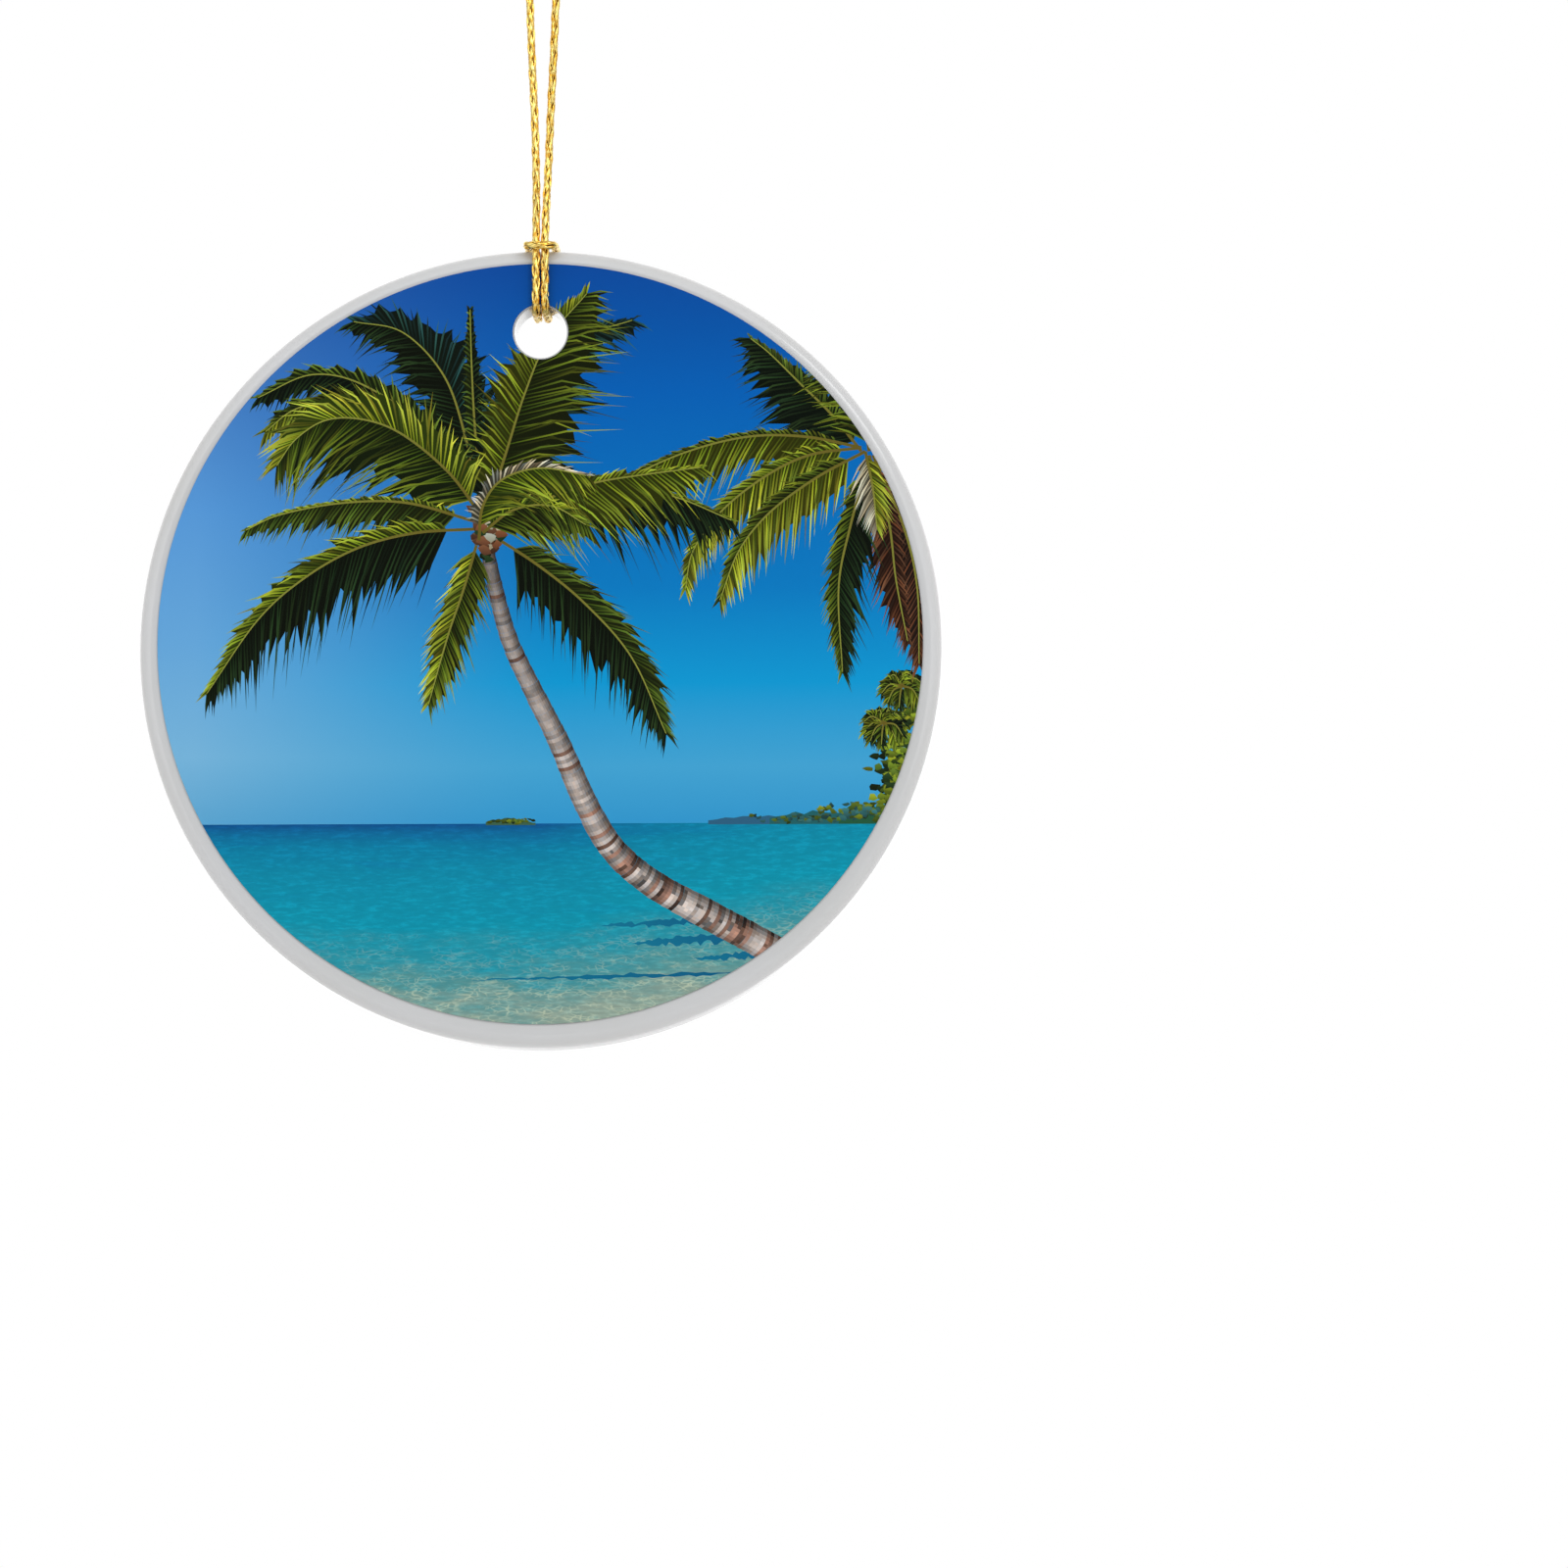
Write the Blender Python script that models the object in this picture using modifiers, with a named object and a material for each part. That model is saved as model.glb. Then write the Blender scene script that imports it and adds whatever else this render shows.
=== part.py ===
"""Round ceramic souvenir ornament on a gold cord, as an assembly of separate solids.

Frame: metres, +Z up. The origin is where the cord hangs on its hook, on the underside of
the knot. The disc hangs plumb below it with its printed face towards -Y.
"""

from math import cos, pi, sin

import bmesh
import bpy
from mathutils import Vector

MM = 0.001

# Disc: a glazed ceramic blank, 2 7/8 in across, with rounded edges
DISC_RADIUS = 36.5 * MM
DISC_THICKNESS = 4.8 * MM
SHOULDER_RADIUS = 1.2 * MM
SHOULDER_STEPS = 5
DISC_STEPS = 96
CORD_DROP = 57.0 * MM  # from the hook down to the disc's top edge
DISC_CENTRE_Z = -(CORD_DROP + DISC_RADIUS)
FACE_Y = DISC_THICKNESS / 2

# Hanging hole, 3/16 in, with a softened lip
HOLE_RADIUS = 2.4 * MM
HOLE_RISE = 28.9 * MM  # above the disc's centre
HOLE_STEPS = 32
LIP_RADIUS = 0.12 * MM
LIP_STEPS = 3
CUTTER_OVERSHOOT = 1 * MM

MERGE_DISTANCE = 0.01 * MM
EMPTY_SIZE = 2 * MM

# Printed coating: a thin round layer on the front face, set a little high
PRINT_RADIUS = 34.8 * MM
PRINT_RISE = 0.35 * MM
PRINT_THICKNESS = 0.10 * MM
PRINT_GAP = 0.05 * MM
PRINT_HOLE_RADIUS = 2.55 * MM

# Cord: one length of braid, folded in half, hitched through the hole and knotted on top
CORD_DIAMETER = 0.76 * MM
CORD_GAP = 0.3 * MM  # between two stretches of cord, end to end
CORD_SIDES = 2  # bevel resolution: eight sides
FINE_SPAN = 4  # points read from a route between two of its own
LOOP_SPAN = 5
BIGHT_SPAN = 3
KNOT_RADIUS = 1.5 * MM
KNOT_CENTRE_Z = 1.6 * MM
KNOT_SEGMENTS = 20
KNOT_RINGS = 12

# The left strand of the loop, from the knot down to the twist, as (x, y, z) in millimetres
LOOP_ROUTE = (
    (-0.42, 0.0, -0.15),
    (-0.75, 0.0, -1.4),
    (-1.10, 0.0, -3.6),
    (-1.38, 0.0, -8.0),
    (-1.50, 0.0, -16.0),
    (-1.40, 0.0, -26.0),
    (-1.10, 0.0, -36.0),
    (-0.70, 0.0, -45.0),
)
NECK_LENGTH = 3.6 * MM  # cord just below the knot, where it bends
TWIST_Z = -45.0 * MM  # where the two strands turn round each other

# The left half of the hitch, from the twist down the front and through the hole. Heights
# are above the disc's top edge, in millimetres.
FRONT_ROUTE = (
    (-0.70, 0.0, 12.0),
    (-0.60, -0.2, 9.0),
    (-0.50, -1.0, 6.0),
    (-0.43, -2.2, 3.0),
    (-0.41, -2.9, 0.8),
    (-0.41, -3.0, -1.4),
    (-0.41, -3.0, -3.0),
    (-0.41, -3.0, -4.4),
    (-0.42, -2.98, -4.95),
    (-0.43, -2.72, -5.42),
    (-0.44, -2.1, -5.72),
    (-0.45, 0.0, -5.72),
)
# and from the middle of the hole up the back and over the rim to the bar's middle
BACK_ROUTE = (
    (-0.45, 0.0, -5.72),
    (-0.46, 2.1, -5.72),
    (-0.47, 2.66, -5.42),
    (-0.50, 2.87, -4.8),
    (-0.80, 2.86, -2.6),
    (-1.10, 2.84, -0.9),
    (-1.20, 2.3, 0.2),
    (-1.21, 1.1, 0.46),
    (-1.21, -1.1, 0.46),
    (-1.23, -2.5, 0.36),
    (-1.15, -3.32, 0.26),
    (-0.62, -3.74, 0.20),
    (0.0, -3.80, 0.20),
)
# The left tail above the knot
TAIL_ROUTE = (
    (-0.45, 0.0, 3.45),
    (-0.62, 0.05, 4.6),
    (-1.05, 0.1, 6.4),
    (-1.25, 0.0, 8.2),
)

COLOURS = {
    "ceramic": ((0.90, 0.90, 0.90), 0.08, 0.0),
    "print": ((0.05, 0.30, 0.60), 0.10, 0.0),
    "gold": ((0.80, 0.50, 0.12), 0.30, 0.9),
}


def clear_scene():
    for existing in list(bpy.data.objects):
        bpy.data.objects.remove(existing, do_unlink=True)


def make_collection(name):
    collection = bpy.data.collections.new(name)
    bpy.context.scene.collection.children.link(collection)
    return collection


def make_material(name, look):
    colour, roughness, metallic = COLOURS[look]
    material = bpy.data.materials.new(name)
    material.use_nodes = True
    shader = material.node_tree.nodes["Principled BSDF"]
    shader.inputs["Base Color"].default_value = (*colour, 1.0)
    shader.inputs["Roughness"].default_value = roughness
    shader.inputs["Metallic"].default_value = metallic
    return material


def add_object(name, data, collection, look):
    part = bpy.data.objects.new(name, data)
    collection.objects.link(part)
    data.materials.append(make_material(name, look))
    return part


def add_empty(name, location, collection, parent=None):
    empty = bpy.data.objects.new(name, None)
    empty.empty_display_size = EMPTY_SIZE
    collection.objects.link(empty)
    empty.location = location
    if parent is not None:
        keep_place(empty, parent)
    return empty


def keep_place(part, parent):
    """Parents a piece and leaves it where it is in the world."""
    bpy.context.view_layer.update()
    part.parent = parent
    part.matrix_parent_inverse = parent.matrix_world.inverted()


def turned(name, profile, steps, collection, look):
    """A profile of (radius, height) points turned about Z, top to bottom on its outer side."""
    mesh = bpy.data.meshes.new(name)
    edges = [(i, i + 1) for i in range(len(profile) - 1)]
    mesh.from_pydata([(radius, 0, height) for radius, height in profile], edges, [])
    part = add_object(name, mesh, collection, look)
    screw = part.modifiers.new("turn", "SCREW")
    screw.steps = steps
    screw.render_steps = steps
    screw.use_merge_vertices = True
    screw.merge_threshold = MERGE_DISTANCE
    screw.use_smooth_shade = True
    return part


def arc(centre, radius, start, end, steps):
    """Points on an arc, with its angles in radians from the +radius direction."""
    angles = [start + (end - start) * i / steps for i in range(steps + 1)]
    return [(centre[0] + radius * cos(a), centre[1] + radius * sin(a)) for a in angles]


def disc_profile():
    inner = DISC_RADIUS - SHOULDER_RADIUS
    rise = FACE_Y - SHOULDER_RADIUS
    top = arc((inner, rise), SHOULDER_RADIUS, pi / 2, 0, SHOULDER_STEPS)
    bottom = arc((inner, -rise), SHOULDER_RADIUS, 0, -pi / 2, SHOULDER_STEPS)
    return [(0, FACE_Y), *top, *bottom, (0, -FACE_Y)]


def hole_profile():
    """The cutter for a hole whose lips flare to the disc's faces."""
    flare = HOLE_RADIUS + LIP_RADIUS
    top = arc((flare, FACE_Y - LIP_RADIUS), LIP_RADIUS, pi / 2, pi, LIP_STEPS)
    bottom = arc((flare, LIP_RADIUS - FACE_Y), LIP_RADIUS, pi, 3 * pi / 2, LIP_STEPS)
    end = FACE_Y + CUTTER_OVERSHOOT
    return [(0, end), (flare, end), *top, *bottom, (flare, -end), (0, -end)]


def cut(part, cutter):
    boolean = part.modifiers.new("hole", "BOOLEAN")
    boolean.operation = "DIFFERENCE"
    boolean.solver = "EXACT"
    boolean.object = cutter
    cutter.hide_render = True
    cutter.display_type = "WIRE"


def make_disc(parts, cutters):
    disc = turned("ceramic_disc", disc_profile(), DISC_STEPS, parts, "ceramic")
    disc.rotation_euler.x = pi / 2
    disc.location.z = DISC_CENTRE_Z
    cutter = turned("hole_cutter", hole_profile(), HOLE_STEPS, cutters, "ceramic")
    cutter.rotation_euler.x = pi / 2
    cutter.location.z = DISC_CENTRE_Z + HOLE_RISE
    cut(disc, cutter)
    return disc


def make_print(parts):
    """The coating is a flat ring-shaped outline, extruded: a circle with the hole left out."""
    outline = bpy.data.curves.new("printed_coating", "CURVE")
    outline.dimensions = "2D"
    outline.fill_mode = "BOTH"
    outline.extrude = PRINT_THICKNESS / 2
    rings = (
        (PRINT_RADIUS, PRINT_RISE, DISC_STEPS),
        (PRINT_HOLE_RADIUS, HOLE_RISE, HOLE_STEPS),
    )
    for radius, rise, steps in rings:
        ring = outline.splines.new("POLY")
        ring.points.add(steps - 1)
        ring.use_cyclic_u = True
        for i, point in enumerate(ring.points):
            angle = 2 * pi * i / steps
            point.co = (radius * cos(angle), rise + radius * sin(angle), 0, 1)
    coating = add_object("printed_coating", outline, parts, "print")
    coating.rotation_euler.x = pi / 2
    coating.location.y = -(FACE_Y + PRINT_GAP + PRINT_THICKNESS / 2)
    coating.location.z = DISC_CENTRE_Z
    return coating


def smooth_route(points, per_span):
    """Points on a Catmull-Rom curve through a route's own points."""
    ends = [points[0] * 2 - points[1], *points, points[-1] * 2 - points[-2]]
    smooth = []
    for a, b, c, d in zip(ends, ends[1:], ends[2:], ends[3:]):
        for i in range(per_span):
            t = i / per_span
            smooth.append(0.5 * (2 * b + (c - a) * t + (2 * a - 5 * b + 4 * c - d) * t ** 2
                                 + (3 * b - a - 3 * c + d) * t ** 3))
    smooth.append(points[-1])
    return smooth


def shorten(points, length):
    """Takes a length off the start of a route."""
    points = list(points)
    while (points[1] - points[0]).length <= length:
        length -= (points[1] - points[0]).length
        points.pop(0)
    step = points[1] - points[0]
    points[0] = points[0] + step * (length / step.length)
    return points


def split(points, length):
    """The stretches of a route before and after a length along it."""
    rest = shorten(points, length)
    kept = len(points) - len(rest) + 1
    return [*points[:kept], rest[0]], rest


def trim(points, start, end):
    """Takes a length off each end of a route."""
    return shorten(shorten(points, start)[::-1], end)[::-1]


def route(table, mirror=1, lift=0.0):
    """A table of millimetres as vectors in metres. The right-hand side has x mirrored."""
    return [Vector((x * mirror, y, z)) * MM + Vector((0, 0, lift)) for x, y, z in table]


def make_cord(name, points, collection):
    curve = bpy.data.curves.new(name, "CURVE")
    curve.dimensions = "3D"
    curve.bevel_depth = CORD_DIAMETER / 2
    curve.bevel_resolution = CORD_SIDES
    curve.use_fill_caps = True
    spline = curve.splines.new("POLY")
    spline.points.add(len(points) - 1)
    for point, place in zip(spline.points, points):
        point.co = (*place, 1)
    return add_object(name, curve, collection, "gold")


def make_knot(collection):
    mesh = bpy.data.meshes.new("cord_knot")
    ball = bmesh.new()
    bmesh.ops.create_uvsphere(ball, u_segments=KNOT_SEGMENTS, v_segments=KNOT_RINGS, radius=KNOT_RADIUS)
    ball.to_mesh(mesh)
    ball.free()
    mesh.shade_smooth()
    knot = add_object("cord_knot", mesh, collection, "gold")
    knot.location.z = KNOT_CENTRE_Z
    return knot


def make_upper_cord(parts, fixed, bending, swinging):
    """Tails, the neck under the knot, and the loop's strands down to the twist."""
    gap = CORD_GAP / 2
    for side, mirror in (("left", 1), ("right", -1)):
        tail = smooth_route(route(TAIL_ROUTE, mirror), FINE_SPAN)
        keep_place(make_cord(f"cord_tail_{side}", tail, parts), fixed)
        strand = smooth_route(route(LOOP_ROUTE, mirror), LOOP_SPAN)
        neck, rest = split(strand, NECK_LENGTH)
        keep_place(make_cord(f"cord_neck_{side}", trim(neck, 0, gap), parts), bending)
        loop = trim(rest, gap, gap)
        keep_place(make_cord(f"cord_loop_{side}", loop, parts), swinging)


def make_hitch(parts, turning):
    """The cord on the disc: two front strands, and the bight up the back and round them."""
    gap = CORD_GAP / 2
    for side, mirror in (("left", 1), ("right", -1)):
        front = smooth_route(route(FRONT_ROUTE, mirror, -CORD_DROP), FINE_SPAN)
        keep_place(make_cord(f"cord_front_{side}", trim(front, gap, gap), parts), turning)
    left = route(BACK_ROUTE, 1, -CORD_DROP)
    right = route(BACK_ROUTE, -1, -CORD_DROP)[::-1][1:]
    bight = trim(smooth_route(left + right, BIGHT_SPAN), gap, gap)
    keep_place(make_cord("cord_bight", bight, parts), turning)


def main():
    clear_scene()
    parts = make_collection("souvenir_ornament")
    cutters = make_collection("cutters")
    knot_centre = (0, 0, KNOT_CENTRE_Z)
    fixed = add_empty("hook_frame", (0, 0, 0), parts)
    bending = add_empty("swing_front_axis", knot_centre, parts, fixed)
    swinging = add_empty("swing_side_axis", knot_centre, parts, bending)
    turning = add_empty("turn_axis", (0, 0, TWIST_Z), parts, swinging)

    keep_place(make_knot(parts), fixed)
    make_upper_cord(parts, fixed, bending, swinging)
    make_hitch(parts, turning)
    disc = make_disc(parts, cutters)
    coating = make_print(parts)
    for piece in (disc, coating):
        keep_place(piece, turning)


main()
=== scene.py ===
import random
from math import cos, pi, radians, sin, tau

import bmesh
import bpy
import numpy as np
from mathutils import Euler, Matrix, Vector
from mathutils.bvhtree import BVHTree
from mathutils.geometry import delaunay_2d_cdt


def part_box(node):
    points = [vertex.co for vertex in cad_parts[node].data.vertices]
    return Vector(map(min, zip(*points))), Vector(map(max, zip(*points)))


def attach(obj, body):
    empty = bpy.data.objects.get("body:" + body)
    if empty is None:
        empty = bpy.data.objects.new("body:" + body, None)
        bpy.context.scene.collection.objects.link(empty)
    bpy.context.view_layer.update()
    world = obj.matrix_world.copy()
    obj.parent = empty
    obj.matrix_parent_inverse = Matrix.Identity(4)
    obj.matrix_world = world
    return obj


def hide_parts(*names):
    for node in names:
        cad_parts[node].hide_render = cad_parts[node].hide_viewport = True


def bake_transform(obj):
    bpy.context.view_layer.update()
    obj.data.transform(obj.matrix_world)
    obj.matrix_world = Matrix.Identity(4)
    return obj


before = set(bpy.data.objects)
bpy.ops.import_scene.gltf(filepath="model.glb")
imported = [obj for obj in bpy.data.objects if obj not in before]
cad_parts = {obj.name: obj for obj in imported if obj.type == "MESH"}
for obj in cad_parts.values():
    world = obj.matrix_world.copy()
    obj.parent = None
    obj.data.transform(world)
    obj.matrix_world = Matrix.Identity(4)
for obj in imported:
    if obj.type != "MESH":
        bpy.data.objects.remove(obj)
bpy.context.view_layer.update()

MM = 0.001

# The disc and its coating, as the frame has them
DISC_LOW, DISC_HIGH = (Vector(corner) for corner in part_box("ceramic_disc"))
PRINT_LOW, PRINT_HIGH = (Vector(corner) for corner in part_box("printed_coating"))
DISC_CENTRE = (DISC_LOW + DISC_HIGH) / 2
DISC_RADIUS = (DISC_HIGH.x - DISC_LOW.x) / 2
DISC_TOP = DISC_HIGH.z
FACE_Y = DISC_HIGH.y
SHOULDER_RADIUS = 1.2 * MM
HOLE_RADIUS = 2.4 * MM
HOLE_CENTRE_Z = DISC_CENTRE.z + 28.9 * MM
LIP_RADIUS = 0.12 * MM
PRINT_CENTRE = (PRINT_LOW + PRINT_HIGH) / 2
PRINT_RADIUS = (PRINT_HIGH.x - PRINT_LOW.x) / 2
PRINT_HOLE_RADIUS = 2.55 * MM
PRINT_EDGE = 0.08 * MM  # the coating's thin bevelled edge

# ---------------------------------------------------------------- camera

VIEW_AZIMUTH = radians(1.9)  # a little to the disc's right
VIEW_ELEVATION = radians(-6.7)  # and below it
LENS = 270.0
SENSOR = 36.0
# The frame's width, and where its middle is from the disc's, in disc diameters
FRAME_WIDTH = 1.955
FRAME_RIGHT = 0.3026
FRAME_DOWN = 0.167


def make_camera():
    diameter = 2 * DISC_RADIUS
    distance = FRAME_WIDTH * diameter * LENS / SENSOR
    turn = Euler((pi / 2 - VIEW_ELEVATION, 0, VIEW_AZIMUTH))
    right, up, back = turn.to_matrix().col
    target = DISC_CENTRE + (right * FRAME_RIGHT - up * FRAME_DOWN) * diameter
    data = bpy.data.cameras.new("camera")
    data.lens = LENS
    data.sensor_width = SENSOR
    data.clip_start = 0.01
    data.clip_end = 20
    camera = bpy.data.objects.new("camera", data)
    camera.rotation_euler = turn
    camera.location = target + back * distance
    bpy.context.scene.collection.objects.link(camera)
    bpy.context.scene.camera = camera


# ---------------------------------------------------------------- materials


def new_material(name, **inputs):
    material = bpy.data.materials.new(name)
    material.use_nodes = True
    shader = material.node_tree.nodes["Principled BSDF"]
    for socket, value in inputs.items():
        shader.inputs[socket.replace("_", " ")].default_value = value
    return material, material.node_tree, shader


def node(tree, kind, **settings):
    made = tree.nodes.new("ShaderNode" + kind)
    for name, value in settings.items():
        if name in made.inputs:
            made.inputs[name].default_value = value
        else:
            setattr(made, name, value)
    return made


def math_node(tree, operation, a, b=None):
    made = node(tree, "Math", operation=operation)
    for socket, value in zip(made.inputs, (a, b)):
        if value is None:
            continue
        if isinstance(value, (int, float)):
            socket.default_value = value
        else:
            tree.links.new(value, socket)
    return made.outputs[0]


def ramp(tree, value, stops, easing="LINEAR"):
    """A colour ramp over (position, colour) stops, colours as sRGB bytes."""
    made = node(tree, "ValToRGB")
    made.color_ramp.interpolation = easing
    elements = made.color_ramp.elements
    while len(elements) < len(stops):
        elements.new(0.5)
    for element, (position, colour) in zip(elements, stops):
        element.position = position
        element.color = ink(colour)
    tree.links.new(value, made.inputs["Fac"])
    return made.outputs["Color"]


def mix(tree, factor, a, b, blend="MIX"):
    made = node(tree, "Mix", data_type="RGBA", blend_type=blend)
    for socket, value in zip((made.inputs[0], made.inputs[6], made.inputs[7]), (factor, a, b)):
        if isinstance(value, (int, float, tuple)):
            socket.default_value = value
        else:
            tree.links.new(value, socket)
    return made.outputs[2]


def bump(tree, shader, height, strength, distance):
    made = node(tree, "Bump", Strength=strength, Distance=distance)
    tree.links.new(height, made.inputs["Height"])
    tree.links.new(made.outputs["Normal"], shader.inputs["Normal"])


def ink(colour):
    """An sRGB byte colour as linear RGBA."""
    channels = [c / 255 for c in colour]
    linear = [c / 12.92 if c <= 0.04045 else ((c + 0.055) / 1.055) ** 2.4 for c in channels]
    return (*linear, 1.0)


def noise(tree, coordinates, scale, detail=3.0, roughness=0.5):
    made = node(tree, "TexNoise", Scale=scale, Detail=detail, Roughness=roughness)
    tree.links.new(coordinates, made.inputs["Vector"])
    return made.outputs["Fac"]


def glaze_material():
    """White glaze with a fine orange-peel surface, with painted shade on the front's border and in the
    hole.
    """
    material, tree, shader = new_material("white_glaze", Roughness=0.14, Specular_IOR_Level=0.5)
    place = node(tree, "TexCoord").outputs["Object"]
    tone = ramp(tree, noise(tree, place, 60.0, 2.0), ((0.3, (241, 241, 240)), (0.7, (245, 245, 246))))
    axes = node(tree, "SeparateXYZ")
    tree.links.new(place, axes.inputs[0])
    # Painted shade: grey on the front's rounded border, darkest next to the print, white by the
    # shoulder's end.
    depth = math_node(tree, "DIVIDE", math_node(tree, "ADD", axes.outputs["Y"], FACE_Y), SHOULDER_RADIUS)
    painted_border_shade = ramp(tree, depth, ((0.0, (208, 209, 210)), (0.35, (224, 224, 224)), (1.0, (255, 255, 255))))
    colour = mix(tree, 1.0, tone, painted_border_shade, "MULTIPLY")
    # Painted shade: the hole's wall is greyed, fading out over its lips.
    rise = math_node(tree, "SUBTRACT", axes.outputs["Z"], HOLE_CENTRE_Z)
    legs = [math_node(tree, "ABSOLUTE", leg) for leg in (axes.outputs["X"], rise)]
    squares = [math_node(tree, "POWER", leg, 2.0) for leg in legs]
    from_axis = math_node(tree, "SQRT", math_node(tree, "ADD", *squares))
    in_radii = math_node(tree, "DIVIDE", from_axis, HOLE_RADIUS)
    painted_hole_shade = ramp(tree, math_node(tree, "SUBTRACT", in_radii, 0.5), (
        (0.5, (212, 213, 215)), (0.56, (255, 255, 255))))
    colour = mix(tree, 1.0, colour, painted_hole_shade, "MULTIPLY")
    tree.links.new(colour, shader.inputs["Base Color"])
    peel = noise(tree, place, 2600.0, 2.0)
    swell = noise(tree, place, 350.0, 1.0)
    height = math_node(tree, "ADD", math_node(tree, "MULTIPLY", peel, 0.25), swell)
    bump(tree, shader, height, 0.06, 0.02 * MM)
    return material


def gold_material(name, low, high):
    """Metallised thread: bright foil with duller, redder places and fine creases."""
    material, tree, shader = new_material(name, Metallic=1.0, Roughness=0.24)
    place = node(tree, "TexCoord").outputs["Object"]
    colour = ramp(tree, noise(tree, place, 2400.0, 3.0), ((0.36, low), (0.6, high)))
    tree.links.new(colour, shader.inputs["Base Color"])
    rough = ramp(tree, noise(tree, place, 3100.0), ((0.35, (100, 100, 100)), (0.7, (150, 150, 150))))
    tree.links.new(rough, shader.inputs["Roughness"])
    bump(tree, shader, noise(tree, place, 7000.0, 2.0), 0.25, 0.01 * MM)
    return material


# ---------------------------------------------------------------- cord

CORD_DIAMETER = 0.76 * MM
CORD_STEP = 0.12 * MM  # between two rings along a yarn
KNOT_CENTRE = Vector((0, 0, 1.6 * MM))

# The left half of the cord, in millimetres: down from the knot's middle to the twist,
LOOP_ROUTE = (
    (-0.38, 0.0, 1.6),
    (-0.42, 0.0, -0.15),
    (-0.75, 0.0, -1.4),
    (-1.10, 0.0, -3.6),
    (-1.38, 0.0, -8.0),
    (-1.50, 0.0, -16.0),
    (-1.40, 0.0, -26.0),
    (-1.10, 0.0, -36.0),
    (-0.70, 0.0, -45.0),
)
# down the disc's front and through the hole, with heights above the disc's top edge,
FRONT_ROUTE = (
    (-0.60, -0.2, 9.0),
    (-0.50, -1.0, 6.0),
    (-0.43, -2.2, 3.0),
    (-0.41, -2.9, 0.8),
    (-0.41, -3.0, -1.4),
    (-0.41, -3.0, -3.0),
    (-0.41, -3.0, -4.4),
    (-0.42, -2.98, -4.95),
    (-0.43, -2.72, -5.42),
    (-0.44, -2.1, -5.72),
    (-0.45, 0.0, -5.72),
)
# and up the back, over the rim and to the middle of the bar in front of the strands.
BACK_ROUTE = (
    (-0.46, 2.1, -5.72),
    (-0.47, 2.66, -5.42),
    (-0.50, 2.87, -4.8),
    (-0.80, 2.86, -2.6),
    (-1.10, 2.84, -0.9),
    (-1.20, 2.3, 0.2),
    (-1.21, 1.1, 0.46),
    (-1.21, -1.1, 0.46),
    (-1.23, -2.5, 0.36),
    (-1.15, -3.32, 0.26),
    (-0.62, -3.74, 0.20),
    (0.0, -3.80, 0.20),
)
TAIL_ROUTE = (
    (-0.38, 0.0, 1.6),
    (-0.45, 0.0, 3.45),
    (-0.62, 0.05, 4.6),
    (-1.05, 0.1, 6.4),
    (-1.25, 0.0, 8.2),
)

# The braid: three yarns wound each way, each passing over and under those of the other way
YARNS = 3
BRAID_PITCH = 7.2 * MM
YARN_RING = 0.25 * MM
YARN_WAVE = 0.055 * MM
YARN_WIDTH = 0.2 * MM
YARN_THICKNESS = 0.09 * MM
CORE_RADIUS = 0.24 * MM
THREAD_SIDES = 6  # of each yarn, and of the core
ROUTE_SPAN = 8  # smooth points between two of a route's own


def smooth_route(points, per_span):
    """Points on a Catmull-Rom curve through a route's own points."""
    ends = [points[0] * 2 - points[1], *points, points[-1] * 2 - points[-2]]
    smooth = []
    for a, b, c, d in zip(ends, ends[1:], ends[2:], ends[3:]):
        for i in range(per_span):
            t = i / per_span
            smooth.append(0.5 * (2 * b + (c - a) * t + (2 * a - 5 * b + 4 * c - d) * t ** 2
                                 + (3 * b - a - 3 * c + d) * t ** 3))
    smooth.append(points[-1])
    return smooth


def even_route(points, step):
    """A route's points set out again at even steps."""
    points = np.array([tuple(p) for p in points])
    along = np.concatenate([[0], np.cumsum(np.linalg.norm(np.diff(points, axis=0), axis=1))])
    count = max(int(round(along[-1] / step)), 2)
    places = np.linspace(0, along[-1], count + 1)
    return np.stack([np.interp(places, along, points[:, i]) for i in range(3)], 1)


def carried_frames(points):
    """Tangent, normal and binormal at each point, carried along without twisting."""
    tangents = np.gradient(points, axis=0)
    tangents /= np.linalg.norm(tangents, axis=1)[:, None]
    normals = np.zeros_like(points)
    normal = np.cross(tangents[0], (0.0, 1.0, 0.0))
    for i, tangent in enumerate(tangents):
        normal = normal - tangent * np.dot(normal, tangent)
        normal /= np.linalg.norm(normal)
        normals[i] = normal
    return tangents, normals, np.cross(tangents, normals)


def tube_faces(rings, sides, start):
    faces = []
    for i in range(rings - 1):
        for j in range(sides):
            a, b = start + i * sides + j, start + i * sides + (j + 1) % sides
            faces.append((a, b, b + sides, a + sides))
    faces.append(tuple(start + j for j in reversed(range(sides))))
    faces.append(tuple(start + (rings - 1) * sides + j for j in range(sides)))
    return faces


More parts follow.
